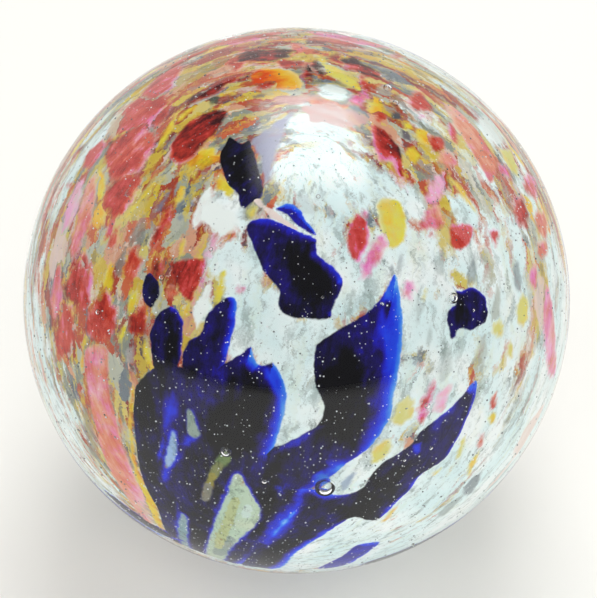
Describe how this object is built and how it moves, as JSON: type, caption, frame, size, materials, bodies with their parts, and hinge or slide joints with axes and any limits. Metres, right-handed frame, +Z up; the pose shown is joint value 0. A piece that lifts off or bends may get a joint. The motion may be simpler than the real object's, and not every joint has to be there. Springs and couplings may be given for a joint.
{
  "type": "glass marble",
  "caption": "Round hand-made glass marble: a white opal core with red, yellow and cobalt chips rolled into its skin, under a thick clear casing.",
  "frame": {"origin": "centre of the ball", "axes": "+Z up as it lies in its stand, -Y towards the side with the large cobalt chips"},
  "size_m": [0.05, 0.05, 0.05],
  "materials": {
    "clear_glass": "fire-polished",
    "opal_glass": "fused inside clear glass",
    "cobalt_glass": "fused inside clear glass",
    "ruby_glass": "fused inside clear glass",
    "amber_glass": "fused inside clear glass"
  },
  "bodies": {
    "root": {"clear_casing": "clear_glass", "opal_core": "opal_glass", "cobalt_chips": "cobalt_glass", "ruby_chips": "ruby_glass", "amber_chips": "amber_glass"}
  },
  "joints": []
}
